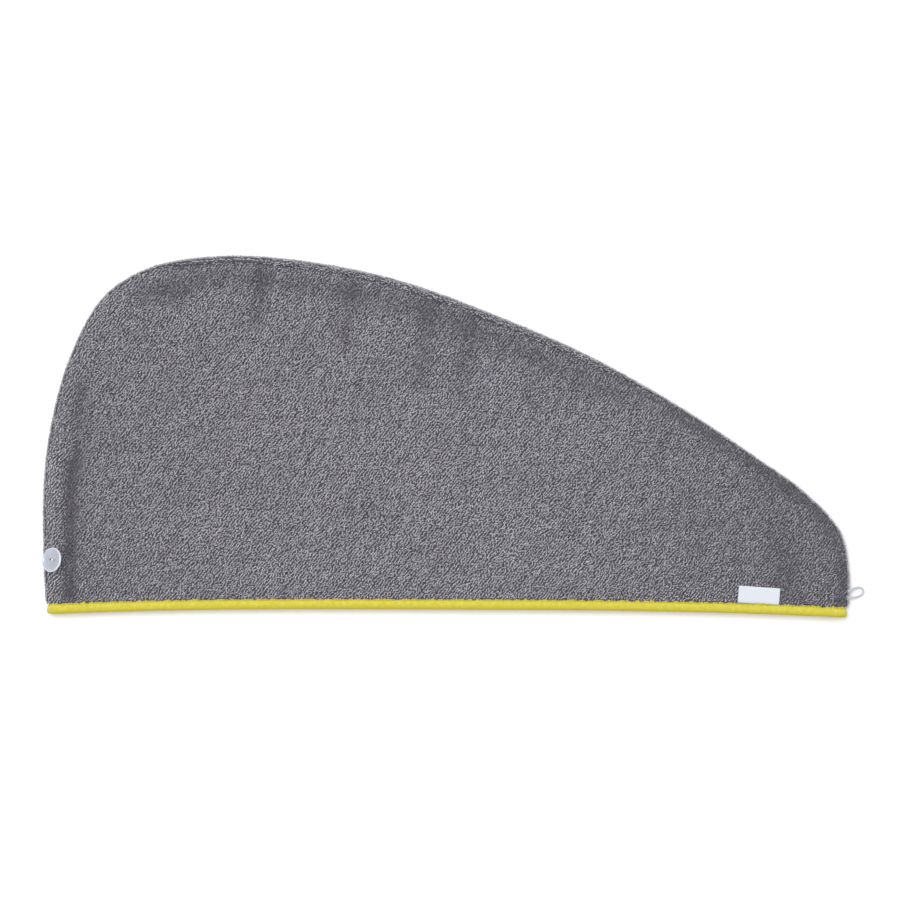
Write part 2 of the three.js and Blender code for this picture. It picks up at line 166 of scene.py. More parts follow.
def through(knots, steps):
    """A smooth line through knots: each stretch is a cubic whose end slopes come from the gaps around it,
    weighted by the square roots of their lengths."""
    padded = np.vstack([2 * knots[0] - knots[1], knots, 2 * knots[-1] - knots[-2]])
    gap = np.sqrt(np.linalg.norm(np.diff(padded, axis=0), axis=1))[:, None]
    before, start, end, after = padded[:-3], padded[1:-2], padded[2:-1], padded[3:]
    gap_in, gap_on, gap_out = gap[:-2], gap[1:-1], gap[2:]
    leave = (start - before) / gap_in - (end - before) / (gap_in + gap_on) + (end - start) / gap_on
    arrive = (end - start) / gap_on - (after - start) / (gap_on + gap_out) + (after - end) / gap_out
    t = (np.arange(steps) / steps)[:, None, None]
    line = (2 * t**3 - 3 * t**2 + 1) * start + (t**3 - 2 * t**2 + t) * gap_on * leave
    line = line + (3 * t**2 - 2 * t**3) * end + (t**3 - t**2) * gap_on * arrive
    return np.vstack([line.transpose(1, 0, 2).reshape(-1, knots.shape[1]), knots[-1:]])


def unit(vectors):
    return vectors / np.linalg.norm(vectors, axis=-1, keepdims=True)


def grid_faces(rows, columns, round_rows=False, round_columns=False):
    """Four-sided faces of a grid of points, joined end to end where it goes round."""
    row = np.arange(rows if round_rows else rows - 1)[:, None]
    column = np.arange(columns if round_columns else columns - 1)[None, :]
    here, right = row * columns + column, row * columns + (column + 1) % columns
    above = ((row + 1) % rows) * columns
    quads = np.stack([here, above + column, above + (column + 1) % columns, right], axis=-1)
    return quads.reshape(-1, 4)


def tube(route, sides, wall):
    """A tube round a route that never stands upright: ring points lie at wall(turn, length) from the route,
    across it on the level and square to both. Each end is closed by one flat face."""
    heading = unit(np.gradient(route, axis=0))
    across = unit(np.cross(heading, (0, 0, 1)))
    up = np.cross(across, heading)
    turn = (np.arange(sides) * 2 * np.pi / sides)[None, :]
    length = np.r_[0, np.cumsum(np.linalg.norm(np.diff(route, axis=0), axis=1))][:, None]
    radius = wall(turn, length)[..., None]
    spoke = np.cos(turn)[..., None] * across[:, None] + np.sin(turn)[..., None] * up[:, None]
    points = (route[:, None] + radius * spoke).reshape(-1, 3)
    ends = [list(range(sides)), list(range(len(points) - 1, len(points) - 1 - sides, -1))]
    return points, grid_faces(len(route), sides, round_columns=True).tolist() + ends


def braided(turn, length):
    """Two families of four strands wind round the cord in opposite ways, and the higher one shows."""
    strand_pitch, strand_rise = 0.9, 0.13
    left = np.cos(4 * turn + length * 2 * np.pi / strand_pitch)
    right = np.cos(4 * turn - length * 2 * np.pi / strand_pitch)
    return cord_diameter / 2 - strand_rise + strand_rise * np.maximum(left, right)


elastic = Finish("braided_elastic")
fibre = elastic.noise(elastic.place(), 0.0003, detail=3)
elastic.cloth(
    Base_Color=elastic.between(fibre, colour(160, 165, 176), colour(206, 209, 216)),
    Roughness=0.75,
    Sheen_Weight=0.3,
    Normal=elastic.relief(fibre, 0.00005),
)
cord_line = through(cord_route, 20)
loop_points, loop_faces = tube(cord_line, 20, braided)
loop = add_piece("elastic_cord", loop_points, loop_faces, elastic)
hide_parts("elastic_loop")


# Terry panels: two sheets of grey cotton terry, cut alike, laid face to face and sewn along the curve, then
# turned right side out. Along the head end's curve the lower panel rolls over on to the top, and the seam
# lies in a groove inside the edge. The straight edges stay open and go into the binding.
cloth_length = 650.0
cloth_depth = 291.0
wall = 2.5
hem_wall = 1.8
clearance = 0.3
crown = 14.4
shoulder_reach = 17.0
seam_height = 5.8
seam_edge = 1.4
seam_allowance = 9.0  # both cloths lie double inside the seam, out to here
lip_width = 1.2
rolled_lip_width = 5.6
rolled_seam_height = 8.8
lip_bulge = 1.6
tape_wall = 0.7
tape_depth = 8.3
mouth_gap = 5.6
hem_arch = 5.4
hem_flatness = 3
hem_tilt = 2.9
fade = 13.0  # so far from the binding a panel swells fully, and so far from the lip it is single
pile_height = 1.2  # from the ground weave to the tips of the loops

tape_layer = hem_wall + 2 * (clearance + tape_wall)
tape_low = tape_layer / 2
tape_high = tape_layer * 1.5 + mouth_gap
upper_slot_top = tape_high + hem_wall / 2
binding_edge = tape_depth + clearance

# The seam from the left corner over the top to the right one: shares of the length, and of the way from
# the binding to the top.
seam_line = np.array([
    [0.004, 0], [0.001, 0.168], [0.002, 0.357], [0.011, 0.519], [0.0345, 0.712], [0.0765, 0.884],
    [0.133, 0.966], [0.22, 0.999], [0.319, 0.986], [0.442, 0.927], [0.566, 0.821], [0.678, 0.706],
    [0.789, 0.561], [0.875, 0.431], [0.945, 0.318], [0.988, 0.21], [0.998, 0.104], [0.998, 0],
])
side_stretches = 5
stretch_steps = 20

# Folds of the upper panel: shares of the length and the depth at one end and at the other, half width and
# depth in millimetres. A negative depth is a ridge.
folds = np.array([
    [0.047, 0.64, 0.044, 0.42, 6.5, 2.2],
    [0.036, 0.42, 0.033, 0.06, 6.6, 4.2],
    [0.014, 0.46, 0.015, 0.07, 5.0, -1.6],
    [0.125, 0.9, 0.175, 0.89, 8.5, 2.0],
    [0.272, 0.97, 0.266, 0.82, 7.0, 2.4],
    [0.381, 0.91, 0.374, 0.76, 8.5, 2.0],
    [0.48, 0.88, 0.466, 0.66, 8.5, 2.4],
    [0.53, 0.84, 0.518, 0.63, 7.8, 2.0],
    [0.608, 0.76, 0.603, 0.6, 7.8, 1.5],
    [0.43, 0.5, 0.57, 0.2, 26.0, -0.6],
    [0.915, 0.2, 0.92, 0.08, 14.3, 1.4],
])


def mix(low, high, share):
    return low + (high - low) * share


def ease(start, end, value):
    """0 before start, 1 after end, and a smooth step between."""
    share = np.clip((value - start) / (end - start), 0, 1)
    return share**2 * (3 - 2 * share)


def bell(value, middle, half_width):
    """1 in the middle, falling off to both sides as the exponential of minus the distance squared."""
    return np.exp(-(((value - middle) / half_width) ** 2))


def hem_line(x):
    """The hem's edge: a low flat-topped arch on a slight slope."""
    along = x / cloth_length
    return hem_tilt * (1 - along) + hem_arch * (1 - np.abs(2 * along - 1) ** hem_flatness)


def roll(along):
    """How far the seam is rolled on to the top, 0 to 1, at a share of the length."""
    return ease(0.11, 0.2, along) * (1 - ease(0.66, 0.78, along))


knots_x = seam_line[:, 0] * cloth_length
knots_y = mix(hem_line(knots_x) + binding_edge, cloth_depth, seam_line[:, 1])
seam = through(np.stack([knots_x, knots_y], axis=1), stretch_steps)
seam_heading = unit(np.gradient(seam, axis=0))
seam_inward = np.stack([seam_heading[:, 1], -seam_heading[:, 0]], axis=1)
seam_along = seam[:, 0] / cloth_length
seam_lip = mix(lip_width, rolled_lip_width, roll(seam_along))


def from_seam(plan):
    """For points of the plan: the distance inside the seam line, below 0 outside, and the share of the
    length and the lip's width where the line is nearest."""
    found = []
    start, run = seam[:-1], np.diff(seam, axis=0)
    for some in np.array_split(plan, 1 + len(plan) // 4000):
        gap = some[:, None] - start
        share = np.clip((gap * run).sum(-1) / (run**2).sum(-1), 0, 1)
        away = gap - share[..., None] * run
        squared = (away**2).sum(-1)
        nearest = squared.argmin(1)
        row = np.arange(len(some))
        side = np.sign((away[row, nearest] * seam_inward[nearest]).sum(-1))
        inset = np.sqrt(squared[row, nearest]) * side
        found.append(np.stack([inset, nearest + share[row, nearest]], axis=1))
    inset, station = np.vstack(found).T
    number = np.arange(len(seam))
    return inset, np.interp(station, number, seam_along), np.interp(station, number, seam_lip)


def waves(plan, length, seed):
    """Soft irregular waves of about this length, from -1 to 1: a sum of sines in seeded directions."""
    chance = np.random.default_rng(seed)
    angle, phase = chance.uniform(0, 2 * np.pi, (2, 14))
    pull = 2 * np.pi / (length * chance.uniform(0.7, 1.6, 14))
    heading = np.stack([np.cos(angle), np.sin(angle)]) * pull
    return np.sin(plan @ heading + phase).sum(-1) / 6


def fold_depth(plan, inset):
    """Depth of all folds, each a bell across its line, and of the valley along the rolled seam."""
    start, end = folds[:, :2] * (cloth_length, cloth_depth), folds[:, 2:4] * (cloth_length, cloth_depth)
    gap, run = plan[:, None] - start, end - start
    share = np.clip((gap * run).sum(-1) / (run**2).sum(-1), 0, 1)
    away = np.linalg.norm(gap - share[..., None] * run, axis=-1)
    creases = (bell(away, 0, folds[:, 4]) * folds[:, 5]).sum(-1)
    valley = 1.3 * bell(inset, 20, 7) * roll(plan[:, 0] / cloth_length)
    return creases + valley


def parting(inset, along, lip):
    """Height between the panels: on the groove of the seam, then down to half height inside."""
    return mix(mix(seam_height, rolled_seam_height, roll(along)), seam_height, ease(0, 8, inset - lip))


def thickness(inset, lip, hem):
    """Thin in the binding, doubled over the seam allowance."""
    layers = 2 - ease(seam_allowance, fade, inset - lip)
    return mix(hem_wall, wall * layers, ease(0, fade, hem - binding_edge))


def upper_face(plan, inset, along, lip):
    """The upper panel: from its edge at the seam up a round shoulder to the crown, less the folds, and
    pressed flat towards the binding."""
    hem = plan[:, 1] - hem_line(plan[:, 0])
    edge = parting(lip, along, lip) + clearance + seam_edge
    way = np.clip((inset - lip) / shoulder_reach, 0, 1)
    inside = ease(0, 2, inset - lip)
    soft = 0.35 * waves(plan, 46, 3) + 0.2 * waves(plan, 17, 4)
    free = mix(edge, crown, 1 - (1 - way) ** 2.2) - (fold_depth(plan, inset) + soft) * inside
    return mix(np.minimum(free, upper_slot_top), free, ease(0, fade, hem - binding_edge))


def upper_inside(plan, inset, along, lip):
    """The upper panel's underside: its wall below its face, but never past the other panel."""
    hem = plan[:, 1] - hem_line(plan[:, 0])
    under = upper_face(plan, inset, along, lip) - thickness(inset, lip, hem)
    return np.maximum(under, parting(inset, along, lip) + clearance)


def lower_face(plan, inset):
    """The lower panel's underside: flat on the table, curling up in a quarter ellipse at its edge."""
    hem = plan[:, 1] - hem_line(plan[:, 0])
    way = np.clip(inset / 8, 0, 1)
    curl = (seam_height - seam_edge) * (1 - np.sqrt(1 - (1 - way) ** 2))
    return mix(np.maximum(curl, tape_wall + clearance), curl, ease(0, fade, hem - binding_edge))


def lower_inside(plan, inset, along, lip):
    """The lower panel's upper side: a rounded lip beyond the seam, then its wall inside the bag."""
    hem = plan[:, 1] - hem_line(plan[:, 0])
    way = np.clip(inset / lip, 0, 1)
    bulge = lip_bulge * roll(along) * np.sin(np.pi * way)
    on_lip = mix(seam_height, parting(lip, along, lip), way) + bulge
    inside = np.minimum(lower_face(plan, inset) + thickness(inset, lip, hem), parting(inset, along, lip))
    return np.where(inset < lip, on_lip, inside)


def drawn_in(away):
    """The ground weave keeps inside the seam line, so that the tips of the loops make the edge."""
    return away + 0.5 * (1 - ease(0, 9, away))


def rim_row(inset, lip_share):
    """Points at one distance in from the seam line; the ends lie along the binding's edge."""
    away = inset + lip_share * seam_lip
    plan = seam + seam_inward * drawn_in(away)[:, None]
    plan[[0, -1], 1] = hem_line(plan[[0, -1], 0]) + binding_edge
    return np.column_stack([plan, away, seam_along, seam_lip])


def field(rim):
    """The plan inside the rim: its four sides are blended into each other, each pair in proportion, less
    the blend of the four corners."""
    side = side_stretches * stretch_steps
    left, top, right = rim[: side + 1, :2], rim[side : len(rim) - side, :2], rim[: -side - 2 : -1, :2]
    u = np.linspace(0, 1, len(top))[None, :, None]
    v = np.linspace(0, 1, side + 1)[:, None, None]
    low_x = mix(left[0, 0], right[0, 0], u[0, :, 0])
    low = np.stack([low_x, hem_line(low_x) + binding_edge], axis=1)
    upright = mix(low[None], top[None], v)
    level = mix(left[:, None], right[:, None], u)
    corners = mix(mix(left[0], right[0], u), mix(left[-1], right[-1], u), v)
    return upright + level - corners


def panel_plan(rows):
    """The plan of a panel: its rim, its field and a tongue that goes into the binding. Gives welded points
    with their distance from the seam, and four-sided faces."""
    rim = np.stack(rows)
    inner = field(rim[-1])
    flat = inner.reshape(-1, 2)
    places = np.column_stack([flat, *from_seam(flat)])
    tongue = inner[0].copy()
    tongue[:, 1] = hem_line(tongue[:, 0]) + tape_wall + clearance
    tongue = np.column_stack([tongue, places[: len(tongue), 2:]])
    faces = [grid_faces(*rim.shape[:2])]
    faces.append(grid_faces(*inner.shape[:2]) + rim[..., 0].size)
    ends = np.arange(len(tongue)) + rim[..., 0].size
    below = np.arange(len(tongue)) + rim[..., 0].size + len(places)
    faces.append(np.stack([ends[:-1], ends[1:], below[1:], below[:-1]], axis=1))
    every = np.vstack([rim.reshape(-1, 5), places, tongue])
    _, first, number = np.unique(
        np.round(every[:, :2], 3), axis=0, return_index=True, return_inverse=True
    )
    return every[first], number.reshape(-1)[np.vstack(faces)]


def both_skins(quads, count):
    """Faces of a closed sheet, whose second skin's points follow the first one's: the first skin's, the
    second's turned over, and a wall on every edge that only one face uses."""
    start, end = quads.ravel(), np.roll(quads, -1, axis=1).ravel()
    alone = ~np.isin(start * count + end, end * count + start)
    start, end = start[alone], end[alone]
    walls = np.stack([start, start + count, end + count, end], axis=1)
    return np.vstack([quads, quads[:, ::-1] + count, walls])


def shell(plan, top, bottom, quads):
    """A closed sheet between two heights over one plan, all its faces turned the same way round first."""
    a, b, c, d = plan[quads].transpose(1, 2, 0)
    turned = ((c - a) * (d - b)[::-1] * np.array([[1], [-1]])).sum(0) < 0
    quads = np.where(turned[:, None], quads[:, ::-1], quads)
    points = np.vstack([np.column_stack([plan, top]), np.column_stack([plan, bottom])])
    return points, both_skins(quads, len(plan))


# The ground weave is painted darker than the loops' yarn: painted shade in the gaps between the loops.
terry = Finish("cotton_terry")
terry_place = terry.place()
terry_clumps = terry.noise(terry_place, 0.012, detail=3)
terry_curls = terry.noise(terry_place, 0.0017, detail=3, roughness=0.65)
terry_fibre = terry.noise(terry_place, 0.0003, detail=2)
terry_light = terry.stretch(terry_curls + (terry_clumps - 0.5) * 0.3, 0.32, 0.7)
terry.cloth(
    Base_Color=terry.between(terry_light, colour(50, 49, 55), colour(104, 103, 111)),
    Roughness=0.95,
    Sheen_Weight=0.15,
    Sheen_Roughness=0.6,
    Normal=terry.relief(terry_curls * 0.8 + terry_fibre * 0.2, 0.0016),
)

rim_rows = [rim_row(step, 1) for step in (0, 0.8, 2, 3.5, 5, 7, 9, 11, 13)]
lip_rows = [rim_row(0, share) for share in (0, 0.12, 0.28, 0.46, 0.64, 0.82)]
lower_places, lower_quads = panel_plan(lip_rows + rim_rows)
upper_places, upper_quads = panel_plan(rim_rows)
lip_pile = 0.8 * pile_height  # the loops on the lip are shorter, pressed by the seam

lower_plan = lower_places[:, :2]
lower_top = lower_inside(lower_plan, *lower_places[:, 2:].T)
lower_top = lower_top - lip_pile * (lower_places[:, 2] < lower_places[:, 4])
lower_points, lower_faces = shell(
    lower_plan, lower_top, lower_face(lower_plan, lower_places[:, 2]), lower_quads
)
lower = add_piece("lower_terry", lower_points, lower_faces, terry)
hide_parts("lower_panel")

upper_plan = upper_places[:, :2]
upper_hem = upper_plan[:, 1] - hem_line(upper_plan[:, 0])
upper_top = upper_face(upper_plan, *upper_places[:, 2:].T)
upper_top = upper_top - pile_height * ease(binding_edge - 1, binding_edge + 2, upper_hem)
upper_under = np.minimum(upper_inside(upper_plan, *upper_places[:, 2:].T), upper_top - 0.6)
upper_points, upper_faces = shell(upper_plan, upper_top, upper_under, upper_quads)
upper = add_piece("upper_terry", upper_points, upper_faces, terry)
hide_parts("upper_panel")


# Pile of the panels: every loop is an arch of cotton yarn that stands out of the ground weave. They lie in
# rows that slant across the cloth and wander a little, lean every way, and stick out all round the edge.
yarn_radius = 0.44
root_depth = 0.35  # the ends of a loop lie this far inside the ground weave
pile_grain = 0.88  # the rows run this way across the cloth, in radians
row_gap = 2.05
loop_gap = 1.25
row_spread = 0.34  # how far off its row a loop lies
row_wander = 0.7  # how far the rows are drawn aside, in waves of wander_length
wander_length = 12
scatter_reach = 380  # half the side of the square that the rows fill


def wander(plan):
    """Where places of straight rows lie in the cloth, whose rows are drawn aside in soft waves."""
    aside = np.stack([waves(plan, wander_length, 51), waves(plan, wander_length, 52)], axis=1)
    return plan + row_wander * aside


def scatter(seed):
    """Places over the whole plan in slanting rows, each moved by chance, mostly along its row, and the
    row's own direction there."""
    chance = np.random.default_rng(seed)
    ends = -scatter_reach, scatter_reach
    across, on = np.meshgrid(np.arange(*ends, row_gap), np.arange(*ends, loop_gap))
    on = on.ravel() + chance.uniform(-0.5, 0.5, on.size) * loop_gap
    across = across.ravel() + chance.normal(0, row_spread, across.size)
    along_row = np.array([np.cos(pile_grain), np.sin(pile_grain)])
    straight = np.outer(on, along_row) + np.outer(across, (-along_row[1], along_row[0]))
    straight = straight + (cloth_length / 2, cloth_depth / 2)
    plan, ahead = wander(straight), wander(straight + 0.5 * along_row)
    heading = np.arctan2(*(ahead - plan).T[::-1])
    inside = (plan > (0, 0)).all(1) & (plan < (cloth_length, cloth_depth)).all(1)
    return plan[inside], heading[inside]


def leaning(height, plan):
    """Upward normals of a height over the plan, from its rise over half a millimetre each way."""
    here = height(plan)
    right, above = height(plan + (0.5, 0)), height(plan + (0, 0.5))
    return unit(np.column_stack([2 * (here - right), 2 * (here - above), np.ones(len(plan))]))


def strands(name, lines, aside, radius, finish, tone, sides=3):
    """Many short strands in one piece, each a line with a ring of a few points round each of its inner
    points and a point at either end; aside is the way across each line, and one corner of a ring faces
    square to both. Every strand carries a tone, from 0 to 1."""
    count, rings = len(lines), lines.shape[1] - 2
    heading = unit(np.gradient(lines, axis=1))[:, 1:-1]
    outward = unit(np.cross(aside[:, None], heading))
    across = np.cross(heading, outward)
    turn = np.pi / 2 + np.arange(sides) * 2 * np.pi / sides
    spoke = np.cos(turn)[:, None] * across[:, :, None] + np.sin(turn)[:, None] * outward[:, :, None]
    body = lines[:, 1:-1, None] + np.reshape(radius, (-1, 1, 1, 1)) * spoke
    points = np.concatenate([lines[:, :1], body.reshape(count, -1, 3), lines[:, -1:]], axis=1)
    size = rings * sides + 2
    first = (np.arange(count) * size)[:, None, None]
    quads = (grid_faces(rings, sides, round_columns=True) + 1 + first).reshape(-1, 4)
    side = np.arange(sides) + 1
    after = side % sides + 1
    tips = np.stack([side, after, 0 * side], axis=1)
    ends = np.stack([after, side, 0 * side + sides + 1], axis=1) + (rings - 1) * sides
    caps = (np.vstack([tips, ends]) + first).reshape(-1, 3)
    piece = add_piece(name, points, quads.tolist() + caps.tolist(), finish)
    tones = piece.data.attributes.new("tone", "FLOAT", "POINT")
    tones.data.foreach_set("value", np.repeat(tone, size))
    plan = points.reshape(-1, 3)[:, :2]
    low, high = plan.min(0), plan.max(0)
    corners = np.empty(len(piece.data.loops), int)
    piece.data.loops.foreach_get("vertex_index", corners)
    spread = piece.data.uv_layers.new(name="OFBake")
    spread.uv.foreach_set("vector", ((plan[corners] - low) / (high - low)).ravel())
    return piece


def painted_shade_at(plan, inset):
    """How much darker the loops are painted, as painted shade: in the folds, less on the ridges, which get
    painted light, in the groove and the valley of the rolled seam, down the tail's edge, near the seam and
    towards both ends; soft patches make it lighter and darker."""
    along = plan[:, 0] / cloth_length
    depth = fold_depth(plan, inset)
    folded = 0.19 * np.maximum(depth, 0) + 0.08 * np.minimum(depth, 0)
    groove = 0.5 * bell(inset, 6.2, 1.1) * roll(along)
    valley = 0.17 * bell(inset, 14, 10) * roll(along)
    tail_edge = 0.46 * bell(inset, 5.5, 6) * ease(0.66, 0.8, along)
    edge = 0.05 * np.exp(-inset / 30)
    tail_end = 0.26 * ease(0.6, 1, along)
    head_end = 0.07 * (1 - ease(0.05, 0.3, along)) * ease(8, 14, inset)
    patches = 0.07 * waves(plan, 60, 8) + 0.03 * waves(plan, 24, 9)
    return folded + groove + valley + tail_edge + edge + tail_end + head_end + patches


def pile(name, roots, normals, grain, painted_shade, seed):
    """Loops on their roots. The line of each runs along its heading by half its width times the cosine of
    a turn and rises by its height times the sine; the sine of twice the turn bends it into an S, and the
    whole top leans."""
    chance = np.random.default_rng(seed)
    count = len(roots)
    spin = grain + chance.normal(0, 0.32, count)
    level = np.stack([np.cos(spin), np.sin(spin), np.zeros(count)], axis=1)
    level[np.abs(normals[:, 2]) < 0.3] = (0, 0, 1)
    ahead = unit(level - (level * normals).sum(-1, keepdims=True) * normals)
    aside = np.cross(normals, ahead)
    half = chance.uniform(0.7, 1.3, (count, 1))
    rise = pile_height * chance.uniform(0.7, 1.4, (count, 1))
    bend = chance.normal(0, 0.25, (count, 1))
    lean_on, lean_off = chance.normal(0, 0.22, (2, count, 1))
    turn = np.array([0.0, 1.0, 2.14, np.pi])
    run = half * np.cos(turn) + lean_on * np.sin(turn)
    off = bend * np.sin(2 * turn) + lean_off * np.sin(turn)
    up = rise * np.sin(turn) - root_depth * (1 - np.sin(turn))
    lines = roots[:, None] + run[..., None] * ahead[:, None] + off[..., None] * aside[:, None]
    lines = lines + up[..., None] * normals[:, None]
    lines[..., 2] = np.maximum(lines[..., 2], yarn_radius)
    radius = yarn_radius * chance.uniform(0.8, 1.2, count)
    # Each loop's tone is random, less the painted shade for its place.
    tone = chance.uniform(0.1, 0.9, count) - painted_shade
    return strands(name, lines, aside, radius, terry_pile, tone)


terry_pile = Finish("terry_loops")
pile_place = terry_pile.place()
# The tone attribute: each loop's random tone less its painted shade.
pile_tone = terry_pile.node("ShaderNodeAttribute", {"attribute_name": "tone"}, output="Fac")
pile_fibre = terry_pile.noise(pile_place, 0.0004, detail=3)
pile_clumps = terry_pile.noise(pile_place, 0.012, detail=3)
pile_light = pile_tone * 0.7 + pile_fibre * 0.3 + pile_clumps * 0.1 + 0.06
terry_pile.cloth(
    Base_Color=terry_pile.between(pile_light, colour(106, 104, 112), colour(220, 218, 226)),
    Roughness=0.95,
    Sheen_Weight=0.15,
    Sheen_Roughness=0.6,
    Normal=terry_pile.relief(pile_fibre, 0.0001),
)

button_tilt, button_turn = np.radians(38.5), np.radians(15)
button_facing = np.array([
    -np.sin(button_tilt) * np.cos(button_turn),
    np.sin(button_tilt) * np.sin(button_turn),
    np.cos(button_tilt),
])
button_middle = np.mean(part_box("button"), axis=0) * 1000 - cloth_corner
button_radius = 9.95
button_press = 3.4  # how far behind its middle it still presses the loops down


def clear_of_button(spots):
    """True where no button presses the loops flat: beyond its radius off its axis, or well below it."""
    away = np.linalg.norm(np.cross(spots - button_middle, button_facing), axis=1)
    behind = (button_middle - spots) @ button_facing
    return (away > button_radius + 0.15) | (behind > button_press)


plan, grain = scatter(7)
inset, along, lip = from_seam(plan)
hem = plan[:, 1] - hem_line(plan[:, 0])
on_upper = (inset > lip + 0.5) & (hem > binding_edge + 0.1)
upper_grain = grain[on_upper]
upper_roots, upper_inset = plan[on_upper], inset[on_upper]
upper_normals = leaning(lambda spots: upper_face(spots, *from_seam(spots)), upper_roots)
upper_height = upper_face(upper_roots, inset[on_upper], along[on_upper], lip[on_upper]) - pile_height
upper_spots = np.column_stack([upper_roots, upper_height])
for number, part in enumerate(np.array_split(np.argsort(upper_roots[:, 0]), 5), start=1):
    part = part[clear_of_button(upper_spots[part])]
    spots, painted_shade = upper_spots[part], painted_shade_at(upper_roots[part], upper_inset[part])
    leans, runs = upper_normals[part], upper_grain[part]
    pile(f"upper_pile_{number}", spots, leans, runs, painted_shade, 10 + number)

# Two fine furrows in the lip near the top of the head end, where the seam allowance is caught twice.
furrowed = ease(0.13, 0.16, along) * (1 - ease(0.26, 0.3, along))
furrows = bell(inset, 1.7, 0.5) + bell(inset, 4.2, 0.6)
on_lip = (inset > 0.3) & (inset < lip - 0.4) & (hem > binding_edge) & (furrows * furrowed < 0.5)
lip_height = lower_inside(plan[on_lip], inset[on_lip], along[on_lip], lip[on_lip]) - lip_pile
lip_spots = np.column_stack([plan[on_lip], lip_height])
lip_normals = leaning(lambda spots: lower_inside(spots, *from_seam(spots)), plan[on_lip])

edge_length = np.r_[0, np.cumsum(np.linalg.norm(np.diff(seam, axis=0), axis=1))]
chance = np.random.default_rng(5)
edge_spots, edge_normals = [], []
# Rows of loops round the edge: how far inside the seam line, how steeply they look up, and their spacing.
edge_rows = (
    (0.0, 0.0, 1.1), (0.0, 0.5, 1.1), (0.0, 1.0, 1.4), (0.9, -0.6, 1.6), (2.2, -0.9, 1.9), (3.8, -1.1, 1.9),
    (5.6, -1.3, 1.9),
)
for away, steep, gap in edge_rows:
    stations = np.arange(2, edge_length[-1] - 2, gap)
    stations = stations + chance.uniform(-0.4, 0.4, len(stations)) * gap
    at = np.stack([np.interp(stations, edge_length, values) for values in seam.T], axis=1)
    inward = unit(np.stack([np.interp(stations, edge_length, values) for values in seam_inward.T], axis=1))
    spots = at + inward * drawn_in(np.full((len(at), 1), away))
    height = lower_face(spots, np.full(len(spots), away)) + 0.4 + 0.3 * (steep >= 0)
    edge_spots.append(np.column_stack([spots, height]))
    edge_normals.append(np.column_stack([-inward * np.cos(steep), np.full(len(at), np.sin(steep))]))
rim_spots, rim_normals = np.vstack([lip_spots, *edge_spots]), np.vstack([lip_normals, *edge_normals])
top_side = slice(side_stretches * stretch_steps, -side_stretches * stretch_steps)
seam_angle = np.arctan2(seam_heading[:, 1], seam_heading[:, 0])[top_side]
lip_grain = np.interp(along[on_lip], seam_along[top_side], seam_angle)
rim_grain = np.r_[lip_grain, np.full(len(rim_spots) - len(lip_grain), pile_grain)]
# Painted shade: the loops round the edge are painted much darker, those on the lip a little.
rim_painted_shade = np.r_[np.full(len(lip_grain), 0.04), np.full(len(rim_spots) - len(lip_grain), 0.3)]
rim_free = clear_of_button(rim_spots)
rim_pile = pile(
    "rim_pile", rim_spots[rim_free], rim_normals[rim_free], rim_grain[rim_free], rim_painted_shade[rim_free], 6
)


# Binding: one strip of yellow cotton cut on the bias, its edges turned under, folded over the raw edges of
# both panels all round the mouth. One row of stitches near its inner edge holds it and puckers that edge.
stitch_pitch = 2.4
stitch_depth = 7.2
tape_inset = 1.4  # its end turns begin this far inside the seam line, before they bulge
turn_radius = (tape_high - tape_low) / 2
half_tape = tape_layer / 2
left_end = seam[0, 0] + tape_inset + turn_radius + half_tape
right_end = seam[-1, 0] - tape_inset - turn_radius - half_tape
run_length = right_end - left_end
mouth_length = 2 * (run_length + np.pi * turn_radius)
stitch_count = round(mouth_length / stitch_pitch)


def round_mouth(distance):
    """Places round the mouth: along the lower edge, a half turn, back along the upper edge and a half turn.
    Gives the place along the cloth, the height, and the way out of the mouth in both."""
    bend = np.pi * turn_radius
    turned = np.clip(distance - run_length, 0, bend) + np.clip(distance - 2 * run_length - bend, 0, bend)
    angle = turned / turn_radius
    run = np.clip(distance, 0, run_length) - np.clip(distance - run_length - bend, 0, run_length)
    x = left_end + run + turn_radius * np.sin(angle)
    z = tape_low + turn_radius - turn_radius * np.cos(angle)
    return x, z, np.sin(angle), -np.cos(angle)


def on_tape(distance, offset, depth):
    """Points of the tape: so far round the mouth, off its middle line, and behind the fold."""
    x, z, out_x, out_z = round_mouth(distance)
    place_x = x + out_x * offset
    return np.stack([place_x, hem_line(place_x) + depth, z + out_z * offset], axis=-1)


# The tape's section, all round: share of its half thickness, and depth behind the fold.
tape_section = np.array([
    [0.76, 8.3], [0.95, 8.2], [1.0, 7.8], [1.0, 7.4], [1.0, 7.0], [1.0, 6.4], [1.0, 5.2], [1.0, 4.0],
    [1.0, 2.8], [0.98, 1.7], [0.88, 0.8], [0.6, 0.22], [0.0, 0.0], [-0.6, 0.22], [-0.9, 0.9], [-1.0, 2.4],
    [-1.0, 5.0], [-1.0, 7.2], [-0.95, 8.2], [-0.65, 8.3], [-0.63, 4.0], [-0.6, 0.7], [0.6, 0.7],
    [0.63, 4.0],
])
distance = (np.arange(stitch_count * 3) / 3 * mouth_length / stitch_count)[:, None]
share, depth = tape_section.T[:, None]
outer = (share > 0.7) | (share < -0.7) | (depth < 0.5)
phase = np.abs(np.sin(np.pi * distance / mouth_length * stitch_count))
tape_spots = np.stack(np.broadcast_arrays(distance, depth), axis=-1)
lumps = waves(tape_spots.reshape(-1, 2), 5.5, 21).reshape(tape_spots.shape[:2])
pucker = bell(depth, stitch_depth, 0.5) * (0.34 - 0.2 * phase)
swell = 0.22 * np.sin(np.pi * np.clip(depth / stitch_depth, 0, 1)) + 0.1 * lumps
offset = share * half_tape + np.sign(share) * outer * (swell - pucker)
scallop = ease(6.6, 8.3, depth) * (0.5 * phase - 0.3 + 0.75 * lumps)
end_turn = round_mouth(distance)[2]
